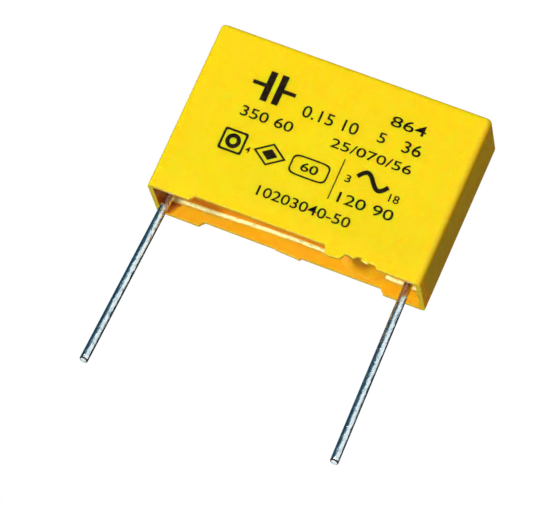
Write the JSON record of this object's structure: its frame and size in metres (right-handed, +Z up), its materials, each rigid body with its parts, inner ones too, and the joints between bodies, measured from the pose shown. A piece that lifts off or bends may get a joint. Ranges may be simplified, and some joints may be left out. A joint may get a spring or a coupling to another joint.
{
  "type": "box film capacitor",
  "caption": "Flat rectangular film capacitor for a through-hole board: a moulded case on stand-off feet, cast in resin, with straight tinned wire leads that point down from its open side.",
  "frame": {"origin": "centre of the seating plane, midway along the case and across it, where the stand-off feet meet the board", "axes": "+Z up, away from the board and towards the closed end of the case; +X along the row of leads; -Y is the way the marked face looks"},
  "size_m": [0.026, 0.007, 0.0331],
  "materials": {
    "case_plastic": "moulded polyester, satin gloss",
    "casting_resin": "cast epoxy, glossy",
    "metallised_film": "polypropylene film with a vapour-deposited metal layer",
    "plain_film": "clear film in several turns",
    "sprayed_metal": "sprayed zinc, dull and grainy",
    "tinned_wire": "bright tinned wire",
    "marking_ink": "printed marking, black ink, plain figures and shapes"
  },
  "bodies": {
    "root": {"case": "case_plastic", "resin_fill": "casting_resin", "film_winding": "metallised_film", "outer_wrap": "plain_film", "end_spray_left": "sprayed_metal", "end_spray_right": "sprayed_metal", "lead_left": "tinned_wire", "lead_right": "tinned_wire"}
  },
  "joints": []
}
